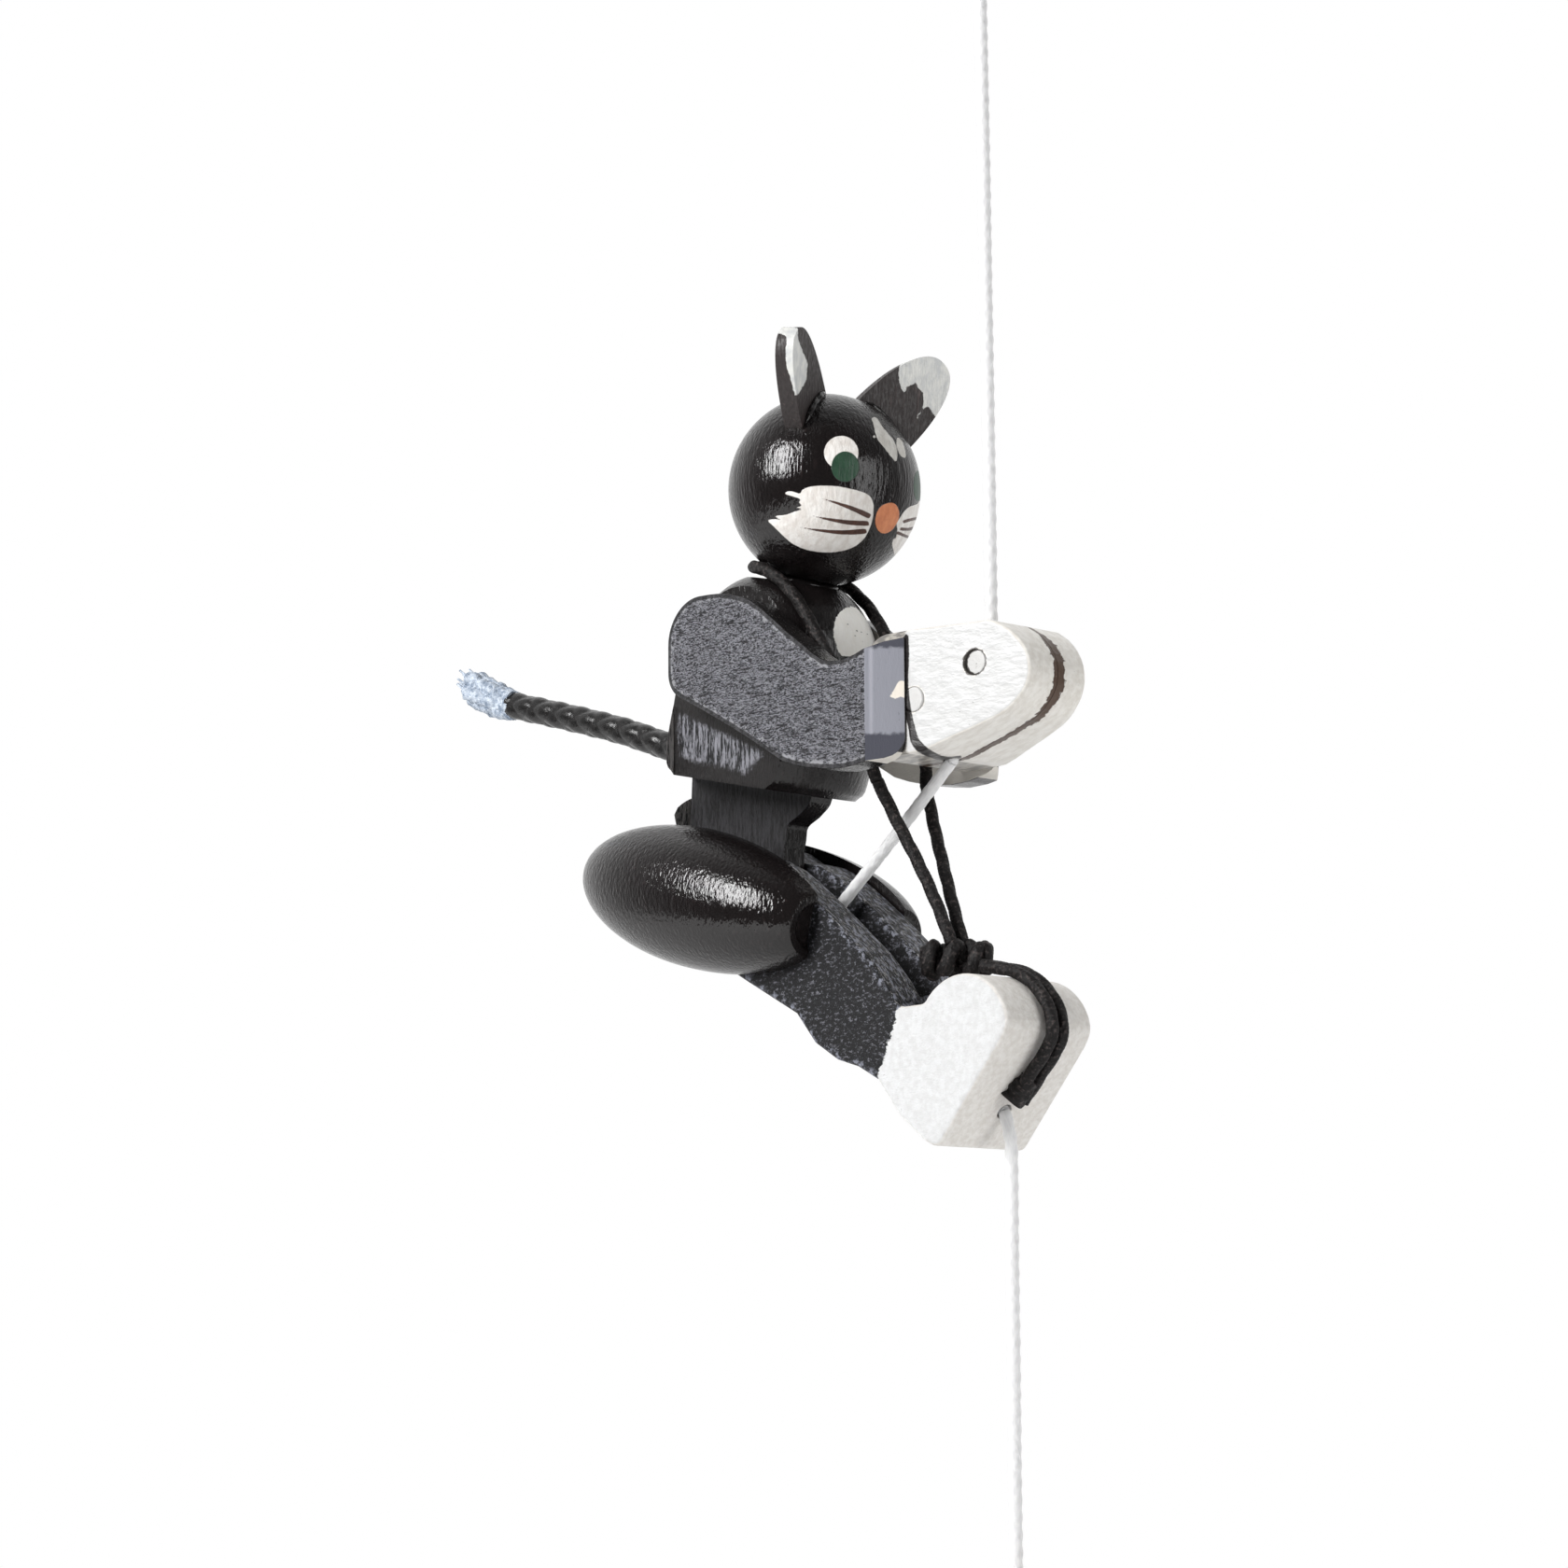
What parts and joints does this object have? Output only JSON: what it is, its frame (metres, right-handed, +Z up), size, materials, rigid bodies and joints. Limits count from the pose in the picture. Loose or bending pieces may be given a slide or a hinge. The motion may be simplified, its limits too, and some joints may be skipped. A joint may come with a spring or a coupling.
{
  "type": "climbing toy cat",
  "caption": "Painted wooden cat threaded by its hands and feet on a hanging string; an elastic folds its sprung hip and it climbs as the string is pulled.",
  "frame": {"origin": "the point in the hanging loop where a hook bears, straight above the cat's hands", "axes": "+Z up along the string, +X the way the cat faces, +Y to the cat's left"},
  "size_m": [0.1351, 0.0408, 0.2734],
  "materials": {
    "string": "white braided cotton string",
    "bare_wood": "smooth unpainted beech",
    "black_gloss_paint": "glossy black paint with the wood's grain showing",
    "ear_paint": "satin black-brown paint, tips painted white",
    "arm_paint": "worn black paint with a blue-grey bloom over rough grain",
    "leg_paint": "worn black paint, feet painted white",
    "white_paint": "glossy white paint",
    "tail_cord": "stiff black braided cord, frayed tip painted white",
    "steel": "plain steel pin",
    "elastic": "black knitted elastic cord"
  },
  "bodies": {
    "line": {"hang_loop": "string", "loop_knot": "string", "string_upper": "string", "string_lower": "string", "pull_bead": "bare_wood", "bead_knot": "string"},
    "hand_grip": {"string_in_hand": "string"},
    "cat": {"head": "black_gloss_paint", "neck_dowel": "bare_wood", "ear_right": "ear_paint", "ear_left": "ear_paint", "torso": "black_gloss_paint", "tail": "tail_cord", "arm_right": "arm_paint", "arm_left": "arm_paint", "hand_right": "white_paint", "hand_left": "white_paint", "hand_dowel_front": "white_paint", "hand_dowel_rear": "white_paint", "string_mid": "string", "elastic_neck_loop": "elastic"},
    "legs": {"hip_pin": "bare_wood", "leg_block": "leg_paint", "thigh_right": "black_gloss_paint", "thigh_left": "black_gloss_paint", "string_guide_pin": "steel", "string_in_foot": "string", "elastic_strand_right": "elastic", "elastic_strand_left": "elastic", "elastic_knot": "elastic", "elastic_foot_loop": "elastic"}
  },
  "joints": [
    {"name": "climb", "type": "slide", "parent": "line", "child": "hand_grip", "axis": [0, 0, 1], "range_m": [-0.04, 0.06], "deforming": ["string_upper", "string_lower"]},
    {"name": "body_swing", "type": "hinge", "parent": "hand_grip", "child": "cat", "pos_m": [0.0041, 0, -0.1214], "axis": [0, 1, 0], "range_deg": [-13.2, 0], "deforming": ["string_in_hand"]},
    {"name": "hip", "type": "hinge", "parent": "cat", "child": "legs", "pos_m": [-0.0496, 0, -0.152], "axis": [0, 1, 0], "range_deg": [0, 25], "stiffness_Nm_per_rad": 0.05, "springref_deg": -57.3, "deforming": ["string_mid", "elastic_strand_right", "elastic_strand_left"]}
  ],
  "couplings": [
    {"joint": "body_swing", "follows": "hip", "ratio": -0.525}
  ]
}
